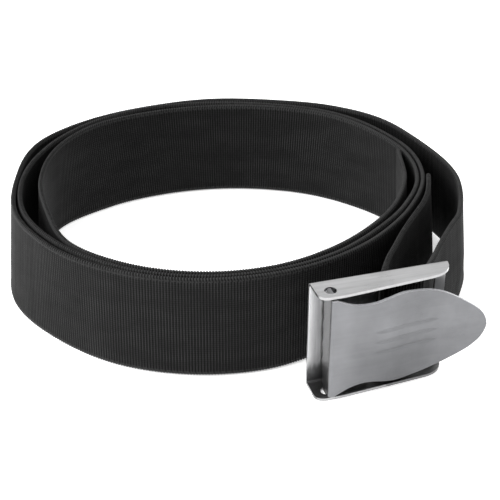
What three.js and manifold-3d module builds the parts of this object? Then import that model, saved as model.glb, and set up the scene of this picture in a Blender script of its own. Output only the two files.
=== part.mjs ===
// Dive weight belt: 50 mm webbing coiled up and standing on its edge, with a
// pressed stainless cam buckle threaded on its fixed end.
// Millimetres, +Z up. Standing on z = 0, with the origin under the middle of the belt.

import * as THREE from 'three';
import { mergeVertices } from 'three/addons/utils/BufferGeometryUtils.js';
import Module from 'manifold-3d';

// ---------------------------------------------------------------- dimensions

const WEB = { width: 50, thick: 2.4, step: 6 };

// Pressed channel: base plate with a flange bent forward along each long edge.
const FRAME = {
  length: 64.1,
  width: 54.1,
  sheet: 1.3,
  bend: 2.2,          // outside radius of the two folds
  depth: 14.8,        // flange depth at the lever end
  endDepth: 11.3,     // flange depth where the far end starts to round off
  at: [25, -94.2],     // plan position of the plate's back edge at the lever end
  turn: 17,           // degrees, plan direction of the plate's length
};
const SLOT_TAIL = [31.1, 36.5];    // along the plate, where the folded tail leaves
const SLOT_LIVE = [51.4, 59.3];    // along the plate, where the belt comes in
const SLOT_WIDTH = 50.6;           // across the plate

// Bent sheet lever: a wavy finger plate and a toothed leg that grips the belt.
const LEVER = { sheet: 1.6, width: 49.8, pivot: [6.5, 9.5], toothLine: 2.2, bend: 1.9, lean: 7 };
const LUG = { thick: 1.6, tall: 4.4, hole: 2.7 };
const TEETH = { count: 5, deep: 1.3 };
// Shallow thumb grooves along the finger plate, rows measured from mid-height.
const GROOVES = { rows: [-5.4, 0, 5.4], from: 24, to: 58, wide: 2.4, deep: 0.3 };

// Coil, seen from above: how far the middle of the webbing lies from the
// coil's centre, one row per lap, every 20 degrees anticlockwise from the
// buckle's end of the belt.
const CENTRE = [-6, 12];
const LAP_START = -20;
const LAP_END = 3 * 360 + 20;        // the cut inner end
const LAPS = [
  [115.5, 112.8, 107.9, 106.1, 100.3, 95.9, 97, 99.1, 105.9,
    116.4, 114.5, 115, 110.5, 105.8, 100.4, 95.3, 90, 88.5],
  [91, 96, 98, 95, 92.6, 90.3, 92.3, 98.2, 102.7,
    109.5, 111.5, 111, 106.2, 102.5, 97.6, 92.5, 87, 84.5],
  [87.5, 93, 94.5, 91.4, 89.4, 86.8, 87.3, 91.2, 98.4,
    104, 102, 99.5, 102.3, 99.4, 94.8, 89.7, 83.2, 80.7],
  [82.4, 86.1, 91.7],
];
// Belt between the buckle and the first lap, and the short tail folded back
// through the buckle, both in plan from the buckle outwards.
const LEAD = [[86.4, -60.5], [91.8, -50.8], [97.4, -39.3]];
const TAIL = [[61.8, -69.5], [66.3, -58.5], [70.5, -49], [75.6, -38.5],
  [80.9, -28], [85.9, -17.8], [89.7, -7], [91.9, 4], [93, 12.8]];

const LIFT = (FRAME.width - WEB.width) / 2;  // the buckle holds the belt off the ground
const LEAN = 2.6;                            // the coil's left and right spread at the foot
const BACK_LEAN = 2;                         // and its far side spreads at the top

// ------------------------------------------------------------------- helpers

const wasm = await Module();
wasm.setup();

function solid(geometry) {
  const g = geometry.clone();
  g.deleteAttribute('normal');
  g.deleteAttribute('uv');
  const m = mergeVertices(g, 1e-4);
  return new wasm.Manifold(new wasm.Mesh({
    numProp: 3,
    vertProperties: new Float32Array(m.attributes.position.array),
    triVerts: new Uint32Array(m.index.array),
  }));
}

function geometry(manifold) {
  const m = manifold.getMesh();
  const g = new THREE.BufferGeometry();
  g.setAttribute('position', new THREE.BufferAttribute(m.vertProperties, 3));
  g.setIndex(new THREE.BufferAttribute(m.triVerts, 1));
  g.computeVertexNormals();
  return g;
}

// The buckle is drawn by (u, n, z): u along the plate, n out of its front and
// z up across its width. In the buckle's own axes n runs along -y. An outline
// drawn in one view is pushed through `deep`, the way that view looks.
const VIEW = {
  side: [[1, 0, 0], [0, -1, 0], [0, 0, -1]],   // u, n outline, pushed downwards
  front: [[1, 0, 0], [0, 0, 1], [0, -1, 0]],   // u, z outline, pushed forwards
  end: [[0, -1, 0], [0, 0, 1], [-1, 0, 0]],    // n, z outline, pushed back along u
};

function prism(view, shape, deep, [u, n, z], segments = 6) {
  const g = new THREE.ExtrudeGeometry(shape, {
    depth: deep, bevelEnabled: false, curveSegments: segments, steps: 1,
  });
  const axes = VIEW[view].map((a) => new THREE.Vector3(...a));
  g.applyMatrix4(new THREE.Matrix4().makeBasis(...axes));
  g.translate(u, -n, z);
  return solid(g);
}

function box([u0, n0, z0], [u1, n1, z1]) {
  const g = new THREE.BoxGeometry(u1 - u0, n1 - n0, z1 - z0);
  g.translate((u0 + u1) / 2, -(n0 + n1) / 2, (z0 + z1) / 2);
  return solid(g);
}

// A closed bar from four-cornered sections, given one after another as x, y, z.
function swept(position) {
  const index = [];
  const quad = (a, b, c, d) => index.push(a, b, c, a, c, d);
  const end = position.length / 3 - 4;
  for (let i = 0; i < end; i += 4) {
    for (let k = 0; k < 4; k++) {
      const next = (k + 1) % 4;
      quad(i + k, i + 4 + k, i + 4 + next, i + next);
    }
  }
  quad(0, 1, 2, 3);
  quad(end, end + 3, end + 2, end + 1);
  const g = new THREE.BufferGeometry();
  g.setAttribute('position', new THREE.Float32BufferAttribute(position, 3));
  g.setIndex(index);
  g.computeVertexNormals();
  return g;
}

const smooth = (v) => {
  const t = THREE.MathUtils.clamp(v, 0, 1);
  return t * t * (3 - 2 * t);
};

// ------------------------------------------------------------------- webbing

const turn = THREE.MathUtils.degToRad(FRAME.turn);
const ALONG = new THREE.Vector2(Math.cos(turn), Math.sin(turn));
const FACE = new THREE.Vector2(Math.sin(turn), -Math.cos(turn));
const inPlan = (u, n) => new THREE.Vector3(
  FRAME.at[0] + u * ALONG.x + n * FACE.x,
  FRAME.at[1] + u * ALONG.y + n * FACE.y, 0);

// The webbing wraps the plate's middle bar: up through one slot, across the
// bar's face and back down through the other.
function barWrap() {
  const mid = FRAME.sheet / 2;
  const r = mid + 0.35 + WEB.thick / 2;
  const points = [];
  for (const [u, from, to] of [[SLOT_TAIL[1], 215, 90], [SLOT_LIVE[0], 90, 42]]) {
    const steps = Math.round((from - to) / 16);
    for (let i = 0; i <= steps; i++) {
      const a = THREE.MathUtils.degToRad(from + (to - from) * i / steps);
      points.push(inPlan(u + r * Math.cos(a), mid + r * Math.sin(a)));
    }
  }
  return points;
}

function beltRoute() {
  const flat = ([x, y]) => new THREE.Vector3(x, y, 0);
  const laps = LAPS.flat().map((r, i) => {
    const a = THREE.MathUtils.degToRad(Math.min(LAP_START + 20 * i, LAP_END));
    return new THREE.Vector3(CENTRE[0] + r * Math.cos(a), CENTRE[1] + r * Math.sin(a), 0);
  });
  return [...[...TAIL].reverse().map(flat), ...barWrap(), ...LEAD.map(flat), ...laps];
}

// Stations along the route, about one step apart, with the distance run.
function stations() {
  const points = beltRoute();
  const curve = new THREE.CatmullRomCurve3(points, false, 'centripetal');
  const spans = points.length - 1;
  const list = [];
  for (let i = 0; i < spans; i++) {
    const n = Math.max(1, Math.round(points[i].distanceTo(points[i + 1]) / WEB.step));
    for (let k = 0; k < n; k++) list.push((i + k / n) / spans);
  }
  list.push(1);
  let run = 0;
  let last = null;
  return list.map((t) => {
    const p = curve.getPoint(t);
    if (last) run += p.distanceTo(last);
    last = p;
    return { p, dir: curve.getTangent(t), run };
  });
}

function webbing() {
  const line = stations();
  const atBuckle = line.filter((s) => s.p.distanceTo(inPlan(43, 3)) < 16).map((s) => s.run);
  const [first, done] = [Math.min(...atBuckle), Math.max(...atBuckle)];
  const position = [];
  for (const { p, dir, run } of line) {
    // raised to the buckle's middle there, and down to the ground further on
    const ramp = run < first ? (first - run) / 170 : (run - done) / 210;
    const lift = LIFT * (1 - smooth(ramp));
    for (const [side, z] of [[-1, 0], [-1, WEB.width], [1, WEB.width], [1, 0]]) {
      const x = p.x - side * dir.y * WEB.thick / 2;
      const y = p.y + side * dir.x * WEB.thick / 2;
      const [dx, dy] = [x - CENTRE[0], y - CENTRE[1]];
      const wide = smooth((Math.abs(dx) - 60) / (dx > 0 ? 44 : 58)) * smooth((y + 76) / 30);
      const a = THREE.MathUtils.radToDeg(Math.atan2(dy, dx));
      const back = smooth((a - 40) / 35) * smooth((160 - a) / 25);
      const foot = 1 - 2 * z / WEB.width;      // 1 at the lower edge, -1 at the upper
      const spread = -BACK_LEAN * back * foot / Math.hypot(dx, dy);
      position.push(x + LEAN * wide * Math.sign(dx) * foot + spread * dx, y + spread * dy, z + lift);
    }
  }
  return swept(position);
}

// -------------------------------------------------------------------- buckle

function channelSection() {
  const { width: w, sheet: t, bend: r, depth } = FRAME;
  const q = r - t;
  const s = new THREE.Shape();
  s.moveTo(depth, 0);
  s.lineTo(depth, t);
  s.lineTo(r, t);
  s.absarc(r, r, q, -Math.PI / 2, -Math.PI, true);
  s.lineTo(t, w - r);
  s.absarc(r, w - r, q, Math.PI, Math.PI / 2, true);
  s.lineTo(depth, w - t);
  s.lineTo(depth, w);
  s.lineTo(r, w);
  s.absarc(r, w - r, r, Math.PI / 2, Math.PI, false);
  s.lineTo(0, r);
  s.absarc(r, r, r, Math.PI, 1.5 * Math.PI, false);
  s.closePath();
  return s;
}

function flangeOutline() {
  const { length: l, depth: d, endDepth: e } = FRAME;
  const s = new THREE.Shape();
  s.moveTo(0, -1);
  s.lineTo(0, d - 5);
  s.bezierCurveTo(0, d - 1.6, 1.8, d, 5.2, d);
  s.lineTo(13, d - 0.1);
  s.lineTo(l - 10, e);
  s.bezierCurveTo(l - 4.8, e - 0.7, l - 0.9, e - 3.8, l - 0.3, 3.4);
  s.lineTo(l, 2.2);
  s.lineTo(l, -1);
  s.closePath();
  return s;
}

// What the blank's rounding takes off behind each flange at the far end.
function flangeCorner() {
  const { length: l } = FRAME;
  const r = 2;
  const s = new THREE.Shape();
  s.moveTo(l - r, -1);
  s.lineTo(l - r, 0);
  s.absarc(l - r, r, r, -Math.PI / 2, 0, false);
  s.lineTo(l + 1, r);
  s.lineTo(l + 1, -1);
  s.closePath();
  return s;
}

function slotOutline([from, to]) {
  const low = (FRAME.width - SLOT_WIDTH) / 2;
  const high = low + SLOT_WIDTH;
  const r = 0.6;
  const s = new THREE.Shape();
  s.moveTo(from, low + r);
  s.absarc(from + r, low + r, r, Math.PI, 1.5 * Math.PI);
  s.absarc(to - r, low + r, r, -Math.PI / 2, 0);
  s.absarc(to - r, high - r, r, 0, Math.PI / 2);
  s.absarc(from + r, high - r, r, Math.PI / 2, Math.PI);
  s.closePath();
  return s;
}

function buckleFrame() {
  const { length: l, width: w, sheet: t } = FRAME;
  let f = prism('end', channelSection(), l, [l, 0, 0]);
  f = f.intersect(prism('side', flangeOutline(), w + 2, [0, 0, w + 1], 8));
  for (const slot of [SLOT_TAIL, SLOT_LIVE]) {
    f = f.subtract(prism('front', slotOutline(slot), t + 2, [0, -1, 0], 3));
  }
  const corner = prism('side', flangeCorner(), t + 1.5, [0, 0, 0]);
  f = f.subtract(corner.translate([0, 0, t + 0.5])).subtract(corner.translate([0, 0, w + 1]));
  const hole = new THREE.CylinderGeometry(LUG.hole, LUG.hole, w + 4, 24);
  hole.rotateX(Math.PI / 2);
  hole.translate(LEVER.pivot[0], -LEVER.pivot[1], w / 2);
  return geometry(f.subtract(solid(hole)));
}

// Front face of the finger plate, from the fold to the tip: distance along the
// plate and height above the base plate's back.
const PLATE_WAVE = [[10, 15.8], [20, 15.6], [31, 15.5], [41, 14.1], [50, 13.2], [57, 13.1],
  [64, 14], [71, 15.3], [79, 15.9]];
// Half width of the finger plate at distances along it.
const PLATE_HALF = [[9.2, 24.1], [12, 22.7], [16, 21.2], [21, 20.4], [26, 20.6], [32, 21.8],
  [38, 22.7], [45, 22.1], [52, 20.9], [58, 18.9], [64, 15.9], [69, 12.8], [73.4, 9.6], [77, 5.8]];

// The finger plate's front face in side view, moved inwards by `inset`.
function plateFace(inset) {
  const front = PLATE_WAVE.map(([x, y]) => new THREE.Vector2(x, y));
  const face = new THREE.SplineCurve(front).getPoints(26);
  return face.map((p, i) => {
    const a = face[Math.max(i - 1, 0)];
    const b = face[Math.min(i + 1, face.length - 1)];
    const d = b.clone().sub(a).normalize();
    return new THREE.Vector2(p.x + d.y * inset, p.y - d.x * inset);
  });
}

// Side view of the bent sheet: down the leg and up again, along the inside to
// the tip and back along the front face.
function leverSide() {
  const { sheet: t, pivot, bend: r, lean } = LEVER;
  // outer face of the leg, which slants so that the teeth bite
  const leg = (y) => pivot[0] - t / 2 - (y - pivot[1]) * Math.tan(lean * Math.PI / 180);
  const top = PLATE_WAVE[0][1];
  const foot = LEVER.toothLine;
  const s = new THREE.Shape();
  s.moveTo(leg(foot), foot);
  s.lineTo(leg(foot) + t, foot);
  s.lineTo(leg(top - r) + t, top - r);
  s.quadraticCurveTo(leg(top - t) + t, top - t, leg(top) + r, top - t);
  for (const p of plateFace(t)) s.lineTo(p.x, p.y);
  for (const p of plateFace(0).reverse()) s.lineTo(p.x, p.y);
  s.lineTo(leg(top) + r, top);
  s.quadraticCurveTo(leg(top), top, leg(top - r), top - r);
  s.closePath();
  return s;
}

// Front view of the lever: full width at the fold, a waist, a wide middle and
// a rounded finger tip.
function leverFront() {
  const mid = FRAME.width / 2;
  const half = LEVER.width / 2;
  const tip = new THREE.Vector2(PLATE_WAVE.at(-1)[0], mid);
  const up = PLATE_HALF.map(([x, h]) => new THREE.Vector2(x, mid + h));
  const down = PLATE_HALF.map(([x, h]) => new THREE.Vector2(x, mid - h)).reverse();
  const edge = new THREE.SplineCurve([
    new THREE.Vector2(7.6, mid + half), ...up, tip, ...down, new THREE.Vector2(7.6, mid - half),
  ]).getPoints(84);
  const s = new THREE.Shape();
  s.moveTo(0, mid - half);
  s.lineTo(0, mid + half);
  for (const p of edge) s.lineTo(p.x, p.y);
  s.closePath();
  return s;
}

function toothNotches() {
  const { count, deep } = TEETH;
  const foot = LEVER.toothLine;
  const pitch = LEVER.width / count;
  const low = (FRAME.width - LEVER.width) / 2;
  const s = new THREE.Shape();
  s.moveTo(foot - 2, low - 1);
  for (let i = 0; i < count; i++) {
    s.lineTo(foot - 0.4, low + i * pitch + 1);
    s.lineTo(foot + deep, low + i * pitch + 5);
    s.lineTo(foot - 0.4, low + i * pitch + 9);
  }
  s.lineTo(foot - 2, low + LEVER.width + 1);
  s.closePath();
  return s;
}

// A shallow vee that follows the finger plate's face and runs out at both ends.
function thumbGroove(row) {
  const { from, to, wide, deep } = GROOVES;
  const mid = FRAME.width / 2 + row;
  const position = [];
  for (const p of plateFace(0).filter(({ x }) => x > from && x < to)) {
    const full = 0.05 + 0.95 * smooth((p.x - from) / 6) * smooth((to - p.x) / 6);
    const half = wide / 2 * full;
    position.push(p.x, -p.y, mid - half, p.x, -p.y - 1, mid,
      p.x, -p.y, mid + half, p.x, -p.y + deep * full, mid);
  }
  return solid(swept(position));
}

function camLever() {
  const { width: w } = FRAME;
  const [u, n] = LEVER.pivot;
  let v = prism('side', leverSide(), LEVER.width + 4, [0, 0, (w + LEVER.width) / 2 + 2], 5);
  v = v.intersect(prism('front', leverFront(), 30, [0, -5, 0]));
  v = v.subtract(prism('end', toothNotches(), 8, [u + 4, 0, 0]));
  for (const row of GROOVES.rows) v = v.subtract(thumbGroove(row));
  const [thick, tall] = [LUG.thick / 2, LUG.tall / 2];
  for (const [lo, hi] of [[0.3, 4], [w - 4, w - 0.3]]) {
    v = v.add(box([u - thick, n - tall, lo], [u + thick, n + tall, hi]));
  }
  return geometry(v);
}

// ------------------------------------------------------------------ assembly

function named(name, geo, color, roughness, metalness) {
  const mesh = new THREE.Mesh(geo, new THREE.MeshStandardMaterial({ color, roughness, metalness }));
  mesh.name = name;
  return mesh;
}

const belt = new THREE.Group();
belt.add(named('webbing_strap', webbing(), 0x26262a, 0.9, 0));

const buckle = new THREE.Group();
buckle.add(named('buckle_frame', buckleFrame(), 0xb4b6b9, 0.32, 1));
buckle.add(named('cam_lever', camLever(), 0xb0b3b8, 0.34, 1));
buckle.rotation.z = turn;
buckle.position.set(...FRAME.at, 0);
belt.add(buckle);

const size = new THREE.Box3().setFromObject(belt, true);
const middle = size.getCenter(new THREE.Vector3());
belt.position.set(-middle.x, -middle.y, -size.min.z);

export default belt;
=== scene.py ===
"""Dive weight belt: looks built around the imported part. Lengths are in mm unless a name says metres."""
import math

import bpy
import numpy as np
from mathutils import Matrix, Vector


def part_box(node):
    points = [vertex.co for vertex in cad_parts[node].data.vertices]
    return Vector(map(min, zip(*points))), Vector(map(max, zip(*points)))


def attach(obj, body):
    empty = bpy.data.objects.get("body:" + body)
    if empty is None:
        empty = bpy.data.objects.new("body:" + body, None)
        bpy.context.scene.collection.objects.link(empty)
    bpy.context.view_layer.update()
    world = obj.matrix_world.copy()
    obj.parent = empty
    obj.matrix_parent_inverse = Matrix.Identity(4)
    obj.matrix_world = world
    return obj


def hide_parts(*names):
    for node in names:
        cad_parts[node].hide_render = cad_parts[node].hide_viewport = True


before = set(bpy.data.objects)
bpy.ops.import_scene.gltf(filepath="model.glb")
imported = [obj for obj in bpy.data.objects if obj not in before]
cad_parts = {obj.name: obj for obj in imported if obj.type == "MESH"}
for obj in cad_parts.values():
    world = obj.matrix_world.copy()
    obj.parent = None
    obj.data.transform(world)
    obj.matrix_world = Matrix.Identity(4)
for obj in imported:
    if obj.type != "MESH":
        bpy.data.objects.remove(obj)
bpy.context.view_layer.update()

# ------------------------------------------------------------------ the plan
# The belt's route is drawn in a plan of its own; PLAN moves it onto the frame.
TURN = math.radians(17)
PLATE_AT = (25, -94.2)
PLATE_LENGTH = 64.1
low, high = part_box("buckle_frame")
PLAN = (PLATE_AT[0] - low[0] * 1000,
        PLATE_AT[1] + PLATE_LENGTH * math.sin(TURN) - high[1] * 1000)


def in_plan(u, n):
    """A point u along the buckle's plate and n out of its front, in plan."""
    return (PLATE_AT[0] + u * math.cos(TURN) + n * math.sin(TURN),
            PLATE_AT[1] + u * math.sin(TURN) - n * math.cos(TURN))


# -------------------------------------------------------------------- camera
camera_data = bpy.data.cameras.new("camera")
camera_data.sensor_width = 36
camera_data.lens = 84.6
camera_back, camera_height = 520, 320.5
camera = bpy.data.objects.new("camera", camera_data)
camera.location = (-PLAN[0] / 1000, (-camera_back - PLAN[1]) / 1000, camera_height / 1000)
camera.rotation_euler = (math.radians(59.5), 0, 0)
bpy.context.scene.collection.objects.link(camera)
bpy.context.scene.camera = camera

# ------------------------------------------------------------------- webbing
WIDTH, THICK = 50.0, 2.4
RIB = 1.36            # distance from one weft rib to the next
RIB_SAMPLES = 4
SLOT_TAIL, SLOT_LIVE = 36.5, 51.4     # edges of the plate's middle bar
SHEET = 1.3
CENTRE = (-6, 12)
LAP_START, LAP_END = -20, 3 * 360 + 20
LAPS = [
    115.5, 112.8, 107.9, 106.1, 100.3, 95.9, 97, 99.1, 105.9,
    116.4, 114.5, 115, 110.5, 105.8, 100.4, 95.3, 90, 88.5,
    91, 96, 98, 95, 92.6, 90.3, 92.3, 98.2, 102.7,
    109.5, 111.5, 111, 106.2, 102.5, 97.6, 92.5, 87, 84.5,
    87.5, 93, 94.5, 91.4, 89.4, 86.8, 87.3, 91.2, 98.4,
    104, 102, 99.5, 102.3, 99.4, 94.8, 89.7, 83.2, 80.7,
    82.4, 86.1, 91.7,
]
LEAD = [(86.4, -60.5), (91.8, -50.8), (97.4, -39.3)]
TAIL = [(61.8, -69.5), (66.3, -58.5), (70.5, -49), (75.6, -38.5), (80.9, -28),
        (85.9, -17.8), (89.7, -7), (91.9, 4), (93, 12.8)]
LIFT, LEAN = 2.05, 2.6
BACK_LEAN, FRONT_LEAN = 3.3, 0.9    # the far side spreads at the top, the near side at the foot
TALL = 0.9            # the loose upper edge stands this much above the nominal width
TUCK = 3.2            # the foot pulls in this far where the belt bends towards the buckle
TUCK_TOP = 19.0       # and above this height it doesn't
BAR = in_plan(43, 3)  # the middle of the bar that the webbing wraps


def smooth(v):
    v = np.clip(v, 0, 1)
    return v * v * (3 - 2 * v)


def bar_wrap():
    mid = SHEET / 2
    r = mid + 0.35 + THICK / 2
    points = []
    for u, start, stop in ((SLOT_TAIL, 215, 90), (SLOT_LIVE, 90, 42)):
        steps = round((start - stop) / 16)
        for i in range(steps + 1):
            a = math.radians(start + (stop - start) * i / steps)
            points.append(in_plan(u + r * math.cos(a), mid + r * math.sin(a)))
    return points


def belt_route():
    laps = []
    for i, r in enumerate(LAPS):
        a = math.radians(min(LAP_START + 20 * i, LAP_END))
        laps.append((CENTRE[0] + r * math.cos(a), CENTRE[1] + r * math.sin(a)))
    return np.array(TAIL[::-1] + bar_wrap() + LEAD + laps, float)


def through(points, per_span=60):
    """A centripetal Catmull-Rom curve through the points, finely sampled."""
    ends = np.vstack([2 * points[0] - points[1], points, 2 * points[-1] - points[-2]])
    out = []
    for p0, p1, p2, p3 in zip(ends, ends[1:], ends[2:], ends[3:]):
        d0, d1, d2 = (max(np.linalg.norm(b - a), 1e-8) ** 0.5
                      for a, b in ((p0, p1), (p1, p2), (p2, p3)))
        t1 = ((p1 - p0) / d0 - (p2 - p0) / (d0 + d1) + (p2 - p1) / d1) * d1
        t2 = ((p2 - p1) / d1 - (p3 - p1) / (d1 + d2) + (p3 - p2) / d2) * d1
        t = np.linspace(0, 1, per_span, endpoint=False)[:, None]
        out.append(p1 + t1 * t + (-3 * p1 + 3 * p2 - 2 * t1 - t2) * t ** 2
                   + (2 * p1 - 2 * p2 + t1 + t2) * t ** 3)
    return np.vstack(out + [points[-1:]])


def near_buckle(at, s):
    """Where the belt enters and leaves the buckle's slots, as distances run."""
    near = s[np.linalg.norm(at - np.array(BAR), axis=1) < 16]
    return near.min(), near.max()


def belt_stations():
    """Evenly spaced places along the belt: plan point, direction, distance run, lift."""
    fine = through(belt_route())
    run = np.concatenate([[0], np.cumsum(np.linalg.norm(np.diff(fine, axis=0), axis=1))])
    count = round(run[-1] / RIB) * RIB_SAMPLES
    s = np.linspace(0, run[-1], count + 1)
    at = np.column_stack([np.interp(s, run, fine[:, k]) for k in (0, 1)])
    way = np.gradient(at, axis=0)
    way /= np.linalg.norm(way, axis=1)[:, None]
    first, done = near_buckle(at, s)
    ramp = np.where(s < first, (first - s) / 170, (s - done) / 210)
    return at, way, s, LIFT * (1 - smooth(ramp))


# Half of the webbing's section, from the lower edge up: height, share of the
# half thickness, how deep the ribs are there, and how far the edge loops stand.
SECTION = [
    (0.0, 0.00, 0.0, 1.0), (0.45, 0.72, 0.3, 0.8), (1.7, 1.00, 0.6, 0.3),
    (2.6, 0.93, 1.0, 0.0), (TUCK_TOP, 1.00, 1.0, 0.0), (47.4, 0.93, 1.0, 0.0),
    (48.3, 1.00, 0.6, 0.3), (49.55, 0.72, 0.3, 0.8), (50.0, 0.00, 0.0, 1.0),
]
RIB_DEEP = 0.34       # from a rib's crest to the groove beside it
LOOP = 0.42           # how far the edge loops stand out


def lean(x, y, height):
    """The coil's walls lean: left and right at the foot, the far side at the top, the near at the foot."""
    dx, dy = x - CENTRE[0], y - CENTRE[1]
    angle = np.degrees(np.arctan2(dy, dx))
    sides = smooth((np.abs(dx) - 60) / np.where(dx > 0, 44, 58)) * smooth((y + 76) / 30)
    back = smooth((angle - 25) / 40) * smooth((165 - angle) / 25)
    front = smooth((angle + 150) / 30) * smooth((-65 - angle) / 20)
    foot = 1 - 2 * height / WIDTH      # 1 at the lower edge, -1 at the upper
    spread = (FRONT_LEAN * front - BACK_LEAN * back) * foot / np.hypot(dx, dy)
    return x + LEAN * sides * np.sign(dx) * foot + spread * dx, y + spread * dy


def tuck(x, y, height, way, past):
    """The foot pulls in where the belt bends towards the buckle. past is the distance run since it."""
    lead = ((past > 0) & (past < 130))[:, None]
    bend = smooth((-2 - y) / 36) * smooth((y + 82) / 20)
    pull = TUCK * lead * bend * np.clip((TUCK_TOP - height) / TUCK_TOP, 0, 1)
    return x - pull * way[:, 1:], y + pull * way[:, :1]


def webbing():
    at, way, s, lift = belt_stations()
    ring = [(z, -share, rib, loop) for z, share, rib, loop in SECTION]
    ring += [(z, share, rib, loop) for z, share, rib, loop in SECTION[-2:0:-1]]
    z, side, rib, loop = (np.array(c) for c in zip(*ring))
    wave = np.cos(2 * np.pi * s / RIB)[:, None]
    # the weft turns back at each rib, and leaves a loop at the edge
    beads = np.repeat(wave, len(z), axis=1)
    rng = np.random.default_rng(7)
    uneven = 1 + 0.12 * rng.standard_normal((len(s), 1))
    half = THICK / 2 * (1 + 0.20 * loop * beads) - RIB_DEEP / 2 * rib * (1 - wave * uneven)
    out = side * half
    edge = LOOP * np.where(z > WIDTH / 2, -1, 1) * loop * (0.5 - 0.5 * beads)
    height = z + edge
    x = at[:, :1] - out * way[:, 1:]
    y = at[:, 1:] + out * way[:, :1]
    # the edge fills out once it is clear of the buckle
    clear = smooth((np.linalg.norm(at - np.array(BAR), axis=1) - 22) / 30)
    height = height + TALL * clear[:, None] * smooth(z / WIDTH * 2 - 1)[None, :]
    x, y = lean(x, y, height)
    x, y = tuck(x, y, height, way, s - near_buckle(at, s)[1])
    co = np.stack([x - PLAN[0], y - PLAN[1], height + lift[:, None]], -1) / 1000
    rings, around = co.shape[:2]
    i = np.arange(rings - 1)[:, None] * around
    k = np.arange(around)[None, :]
    nxt = (k + 1) % around
    faces = np.stack([i + k, i + around + k, i + around + nxt, i + nxt], -1).reshape(-1, 4)
    mesh = bpy.data.meshes.new("webbing")
    caps = [list(range(around)), [(rings - 1) * around + j for j in range(around)][::-1]]
    mesh.from_pydata(co.reshape(-1, 3).tolist(), [], faces.tolist() + caps)
    uv = mesh.uv_layers.new(name="run")
    corner = np.empty(len(mesh.loops), dtype=np.int64)
    mesh.loops.foreach_get("vertex_index", corner)
    place = np.stack([np.repeat(s, around), np.tile(z, rings)], -1)[corner]
    uv.data.foreach_set("uv", (place / 100).ravel())
    mesh.polygons.foreach_set("use_smooth", [True] * len(faces) + [False, False])
    mesh.validate()
    mesh.update()
    obj = bpy.data.objects.new("webbing", mesh)
    bpy.context.scene.collection.objects.link(obj)
    return obj, float(s[-1])


# ----------------------------------------------------------------- materials

class Nodes:
    """A short way to write a node tree."""

    def __init__(self, name):
        self.material = bpy.data.materials.new(name)
        self.material.use_nodes = True
        self.tree = self.material.node_tree
        self.shader = self.tree.nodes["Principled BSDF"]

    def add(self, kind, **settings):
        node = self.tree.nodes.new("ShaderNode" + kind)
        for key, value in settings.items():
            if hasattr(node, key):
                setattr(node, key, value)
            else:
                node.inputs[key.replace("_", " ")].default_value = value
        return node

    def link(self, a, b):
        self.tree.links.new(a, b)

    def math(self, operation, a, b):
        node = self.add("Math", operation=operation)
        for socket, value in zip(node.inputs, (a, b)):
            if isinstance(value, (int, float)):
                socket.default_value = value
            else:
                self.link(value, socket)
        return node.outputs[0]

    def math_add(self, a, b, c):
        """a times b, plus the constant c."""
        node = self.add("Math", operation="MULTIPLY_ADD")
        self.link(a, node.inputs[0])
        node.inputs[1].default_value = b
        node.inputs[2].default_value = c
        return node.outputs[0]

    def dimmed(self, value, where, depth):
        """value, less a share of it where the mask is 1."""
        return self.math("MULTIPLY", value, self.math("SUBTRACT", 1.0, self.math("MULTIPLY", where, depth)))

    def ramp(self, value, stops):
        node = self.add("ValToRGB")
        elements = node.color_ramp.elements
        while len(elements) < len(stops):
            elements.new(0.5)
        for element, (place, colour) in zip(elements, stops):
            element.position = place
            element.color = (*colour, 1) if len(colour) == 3 else (colour[0],) * 3 + (1,)
        self.link(value, node.inputs[0])
        return node.outputs[0]


def noise(n, vector, scale, detail=2.0, roughness=0.5):
    node = n.add("TexNoise", Scale=scale, Detail=detail, Roughness=roughness)
    n.link(vector, node.inputs["Vector"])
    return node.outputs["Fac"]


def mix(n, share, a, b):
    """a where share is 0 and b where it is 1."""
    keep = n.math("MULTIPLY", n.math("SUBTRACT", 1.0, share), a)
    return n.math("ADD", keep, n.math("MULTIPLY", share, b))


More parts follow.
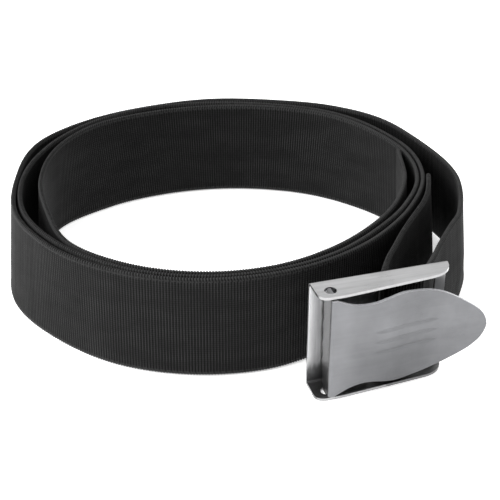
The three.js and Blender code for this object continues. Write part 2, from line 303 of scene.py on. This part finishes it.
def webbing_material():
    n = Nodes("webbing_black")
    uv = n.add("UVMap", uv_map="run").outputs[0]
    split = n.add("SeparateXYZ")
    n.link(uv, split.inputs[0])
    run, rise = (n.math("MULTIPLY", split.outputs[k], 100.0) for k in (0, 1))
    # crest of a rib 1, groove 0; below, this paints shade into the grooves
    rib = n.math_add(n.math("COSINE", n.math("MULTIPLY", run, 2 * math.pi / RIB), 0), 0.5, 0.5)
    # warp yarns lie side by side across each rib
    yarn = n.math("SINE", n.math("MULTIPLY", rise, 2 * math.pi / 1.05), 0)
    place = n.add("CombineXYZ")
    n.link(n.math("MULTIPLY", run, 0.9), place.inputs[0])
    n.link(n.math("MULTIPLY", rise, 2.6), place.inputs[1])
    fibre = noise(n, place.outputs[0], 1.6, 3.0, 0.6)
    blotch = noise(n, place.outputs[0], 0.06, 2.0)
    # a rolled edge, a dashed line of weft below it, then the ribs
    from_middle = n.math("ABSOLUTE", n.math("SUBTRACT", rise, WIDTH / 2), 0)
    edge = band(n, from_middle, 22.7, 23.3)
    below_edge = n.math("SUBTRACT", 1.0, band(n, from_middle, 23.3, 23.7))
    line = n.math("MULTIPLY", band(n, from_middle, 22.5, 22.9), below_edge)
    dash = n.math("GREATER_THAN", n.math("SINE", n.math("MULTIPLY", run, math.pi / RIB), 0), -0.2)
    slant = n.math("MULTIPLY", n.math("ADD", run, n.math("MULTIPLY", from_middle, 0.35)), 2 * math.pi / RIB)
    loops = n.math_add(n.math("SINE", slant, 0), 0.5, 0.55)
    # the painted shade in the grooves is deeper in some stretches than in others
    patch = noise(n, place.outputs[0], 0.045, 2.0)
    depth = n.math_add(band(n, patch, 0.35, 0.65), 0.40, 0.36)
    # painted shade: dark in the grooves between the ribs, and between the loops on the rolled edge
    rib_and_loop_shade = mix(n, edge, rib, loops)
    tone = n.math("ADD", n.math("MULTIPLY", n.math("SUBTRACT", rib_and_loop_shade, 0.5), depth), 0.31)
    tone = n.math("ADD", tone, n.math("MULTIPLY", fibre, 0.42))
    tone = n.math("ADD", tone, n.math("MULTIPLY", yarn, 0.07))
    # the rolled edge is paler, and mottled
    mottle = n.math_add(n.math("SUBTRACT", noise(n, place.outputs[0], 0.55, 1.0), 0.5), 0.7, 0.22)
    tone = n.math("ADD", tone, n.math("MULTIPLY", edge, mottle))
    tone = n.math("ADD", tone, n.math("MULTIPLY", n.math("MULTIPLY", line, dash), 0.28))
    tone = n.math("ADD", tone, n.math("MULTIPLY", n.math("SUBTRACT", blotch, 0.5), 0.25))
    colour = n.ramp(tone, [(0.22, (0.0003, 0.0003, 0.0003)), (0.52, (0.0032, 0.0032, 0.0033)),
                           (1.0, (0.027, 0.027, 0.027))])
    n.link(colour, n.shader.inputs["Base Color"])
    n.shader.inputs["Specular IOR Level"].default_value = 0.11
    n.link(n.math_add(fibre, 0.25, 0.5), n.shader.inputs["Roughness"])
    n.shader.inputs["Sheen Weight"].default_value = 0.03
    n.shader.inputs["Sheen Roughness"].default_value = 0.5
    height = n.math("ADD", n.math("MULTIPLY", yarn, 0.5), n.math("MULTIPLY", fibre, 0.8))
    bump = n.add("Bump", Strength=0.55, Distance=0.00012)
    n.link(height, bump.inputs["Height"])
    n.link(bump.outputs[0], n.shader.inputs["Normal"])
    return n.material


def spot(n, place, centre, reach, inner=0.25):
    """1 near a place on the buckle (u, z), fading to 0 at its reach, all in mm."""
    scaled = n.add("VectorMath", operation="MULTIPLY")
    n.link(place, scaled.inputs[0])
    scaled.inputs[1].default_value = (1 / reach[0], 0, 1 / reach[1])
    away = n.add("VectorMath", operation="DISTANCE")
    n.link(scaled.outputs[0], away.inputs[0])
    away.inputs[1].default_value = (centre[0] / reach[0], 0, centre[1] / reach[1])
    return n.math("SUBTRACT", 1.0, band(n, away.outputs["Value"], inner, 1.0))


def band(n, value, low, high):
    """0 below low, 1 above high."""
    step = n.add("MapRange", interpolation_type="SMOOTHSTEP", From_Min=low, From_Max=high)
    n.link(value, step.inputs[0])
    return step.outputs[0]


def upward(n, low, high):
    """1 on faces that look up or down."""
    facing = n.add("SeparateXYZ")
    n.link(n.add("NewGeometry").outputs["Normal"], facing.inputs[0])
    return band(n, n.math("ABSOLUTE", facing.outputs[2], 0), low, high)


def lever_painted_light(n, place, axes, brush):
    """Painted shade on the leg under the fold, painted highlights on the fold and cut edges, and two
    clouded patches that are part tone, part painted reflection.
    """
    # painted shade: the leg under the fold faces away from the light, so its colour is darkened
    near_end = n.math("SUBTRACT", 1.0, band(n, axes[0], 8.5, 9.5))
    leg = n.math("MULTIPLY", near_end, band(n, axes[1], -15.2, -14.2))
    shade = n.math("SUBTRACT", 1.0, n.math("MULTIPLY", leg, 0.78))
    # two darker clouded patches, partly uneven tone and partly painted reflection, and a painted highlight
    # along the fold (the negative depth)
    for centre, reach, depth in (((36, 12), (34, 22), 0.28), ((44, 42), (17, 14), 0.08),
                                 ((9, 30), (9, 34), -0.10)):
        shade = n.math("SUBTRACT", shade, n.math("MULTIPLY", spot(n, place, centre, reach), depth))
    # painted highlight: faces that look up or down, the cut edges, are made 2.9 times as bright
    return n.math("MULTIPLY", shade, n.math("ADD", 1.0, n.math("MULTIPLY", upward(n, 0.35, 0.7), 1.9)))


def frame_painted_shade(n, place, axes, brush):
    """Painted dark reflection at the ragged foot of the base plate and on its far end, painted shade on the
    faces that look up or down, and more on the front cut edges.
    """
    # painted reflection: below a ragged line, the foot of the base plate is darkened as if it mirrored dark
    # things
    ragged = n.math("ADD", axes[2], n.math("MULTIPLY", n.math("SUBTRACT", brush, 0.5), 9.0))
    foot = n.math("SUBTRACT", 1.0, band(n, ragged, 8.0, 13.0))
    inside = n.math("LESS_THAN", n.math("ABSOLUTE", axes[1], 0), 13.0)
    shade = n.math("SUBTRACT", 1.0, n.math("MULTIPLY", n.math("MULTIPLY", foot, inside), 0.5))
    # painted reflection: the far end of the plate is darkened as if it mirrored the dark webbing
    on_plate = n.math("LESS_THAN", n.math("ABSOLUTE", axes[1], 0), 1.6)
    far = n.math("MULTIPLY", band(n, axes[0], 57.0, 60.0), on_plate)
    shade = n.math("SUBTRACT", shade, n.math("MULTIPLY", far, 0.58))
    # painted shade on the upright cut edges at the front, which damps their reflection of the floor
    upright = n.math("SUBTRACT", 1.0, upward(n, 0.5, 0.85))
    cut = n.math("MULTIPLY", n.math("LESS_THAN", axes[1], -8.5), upright)
    # painted shade: faces that look up or down, the flanges, are darker than the upright base plate
    return n.dimmed(n.dimmed(shade, cut, 0.5), upward(n, 0.65, 0.75), 0.29)


def steel_material(name, base, rough, along, streak, painted_light_of):
    """Brushed stainless sheet. along is the buckle axis the brush ran on, "u" or "z"."""
    n = Nodes(name)
    # u, -n, z of the buckle in mm
    at = in_plan(0, 0)
    turned = n.add("Mapping", vector_type="TEXTURE")
    turned.inputs["Location"].default_value = ((at[0] - PLAN[0]) / 1000, (at[1] - PLAN[1]) / 1000, 0)
    turned.inputs["Rotation"].default_value = (0, 0, TURN)
    turned.inputs["Scale"].default_value = (0.001, 0.001, 0.001)
    n.link(n.add("TexCoord").outputs["Object"], turned.inputs["Vector"])
    place = turned.outputs[0]
    axes = n.add("SeparateXYZ")
    n.link(place, axes.inputs[0])

    def streaks(grain):
        stretch = n.add("VectorMath", operation="MULTIPLY")
        n.link(place, stretch.inputs[0])
        stretch.inputs[1].default_value = grain
        return noise(n, stretch.outputs[0], 1.0, 3.0, 0.65), noise(n, stretch.outputs[0], 0.22, 2.0, 0.5)

    lengthways = streaks((0.06, 2.6, 2.6))
    if along == "u":
        brush, wide = lengthways
    else:
        # the base is brushed across, its two flanges lengthways
        flat = upward(n, 0.65, 0.75)
        brush, wide = (mix(n, flat, a, b) for a, b in zip(streaks((2.6, 2.6, 0.06)), lengthways))
    cloud = noise(n, place, 0.055, 3.0, 0.55)
    nicks = noise(n, place, 0.9, 2.0, 0.7)
    tone = n.math("ADD", n.math("MULTIPLY", brush, 0.5 * streak), n.math("MULTIPLY", wide, 0.5 * streak))
    tone = n.math("ADD", tone, n.math("MULTIPLY", cloud, 1 - streak))
    dark, light = (tuple(c * k for c in base) for k in (0.80, 1.14))
    tinted = n.add("VectorMath", operation="MULTIPLY")
    n.link(n.ramp(tone, [(0.30, dark), (0.70, light)]), tinted.inputs[0])
    # the colour is multiplied by the painted light and shade of the part's shade function
    n.link(painted_light_of(n, place, axes.outputs, wide), tinted.inputs[1])
    n.link(tinted.outputs[0], n.shader.inputs["Base Color"])
    mixed = n.math("ADD", n.math("MULTIPLY", brush, 0.16), n.math("MULTIPLY", cloud, 0.14))
    n.link(n.math("ADD", mixed, rough - 0.15), n.shader.inputs["Roughness"])
    n.shader.inputs["Metallic"].default_value = 1.0
    if along == "u":
        # its cut edges were tumbled, which leaves them matt; their paler colour is a painted highlight
        matt = n.math("MULTIPLY", upward(n, 0.35, 0.7), 0.8)
        n.link(n.math("SUBTRACT", 1.0, matt), n.shader.inputs["Metallic"])
    n.shader.inputs["Anisotropic"].default_value = 0.35
    height = n.math("ADD", brush, n.math("MULTIPLY", nicks, 0.35))
    bump = n.add("Bump", Strength=0.22, Distance=0.00003)
    n.link(height, bump.inputs["Height"])
    n.link(bump.outputs[0], n.shader.inputs["Normal"])
    return n.material


def dress_sheet_metal(name, material, round_off):
    """The CAD node keeps its shape: only its sharp sheet edges are eased and shaded."""
    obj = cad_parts[name]
    obj.data.materials.clear()
    obj.data.materials.append(material)
    flat = obj.modifiers.new("flat", "DECIMATE")
    flat.decimate_type = "DISSOLVE"
    flat.angle_limit = math.radians(0.5)
    bevel = obj.modifiers.new("eased", "BEVEL")
    bevel.width = round_off / 1000
    bevel.segments = 3
    bevel.limit_method = "ANGLE"
    bevel.angle_limit = math.radians(35)
    bevel.harden_normals = True
    for face in obj.data.polygons:
        face.use_smooth = True
    return obj


# --------------------------------------------------------------------- build
strap, strap_length = webbing()
strap.data.materials.append(webbing_material())
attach(strap, "belt")
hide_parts("webbing_strap")

frame_steel = steel_material("frame_brushed_painted_shade", (0.78, 0.78, 0.787), 0.31, "z", 0.75, frame_painted_shade)
lever_steel = steel_material("lever_satin_painted_light", (0.178, 0.180, 0.187), 0.32, "u", 0.3, lever_painted_light)
dress_sheet_metal("buckle_frame", frame_steel, 0.25)
dress_sheet_metal("cam_lever", lever_steel, 0.35)

# --------------------------------------------------------------------- stage
floor_mesh = bpy.data.meshes.new("floor")
far = 6.0
floor_mesh.from_pydata([(-far, -far, 0), (far, -far, 0), (far, far, 0), (-far, far, 0)], [], [(0, 1, 2, 3)])
floor = bpy.data.objects.new("floor", floor_mesh)
floor.location.z = -0.0002
white = Nodes("floor_white")
white.shader.inputs["Base Color"].default_value = (0.95, 0.95, 0.95, 1)
white.shader.inputs["Roughness"].default_value = 0.9
white.shader.inputs["Specular IOR Level"].default_value = 0.0
white.shader.inputs["Emission Color"].default_value = (1, 1, 1, 1)
# lit from below like a light table
white.shader.inputs["Emission Strength"].default_value = 0.5
floor_mesh.materials.append(white.material)
bpy.context.scene.collection.objects.link(floor)


def softbox(name, place, towards, size, power):
    data = bpy.data.lights.new(name, "AREA")
    data.shape = "RECTANGLE"
    data.size, data.size_y = size
    data.energy = power
    lamp = bpy.data.objects.new(name, data)
    lamp.location = place
    lamp.rotation_euler = (Vector(towards) - Vector(place)).to_track_quat("-Z", "Y").to_euler()
    bpy.context.scene.collection.objects.link(lamp)


softbox("overhead", (0.0, 0.25, 1.5), (0, 0, 0), (2.2, 2.2), 20)
softbox("left", (-1.3, -0.3, 0.75), (0, 0, 0), (1.3, 1.3), 39)
softbox("right", (1.4, 0.1, 0.8), (0, 0, 0), (0.9, 1.2), 10)
softbox("back", (0.0, 1.9, 1.05), (0, 0, 0.02), (2.6, 1.0), 3.2)

world = bpy.data.worlds.new("studio")
world.use_nodes = True
world.node_tree.nodes["Background"].inputs[0].default_value = (1, 1, 1, 1)
world.node_tree.nodes["Background"].inputs[1].default_value = 0.34
bpy.context.scene.world = world
bpy.context.scene.view_settings.view_transform = "Standard"
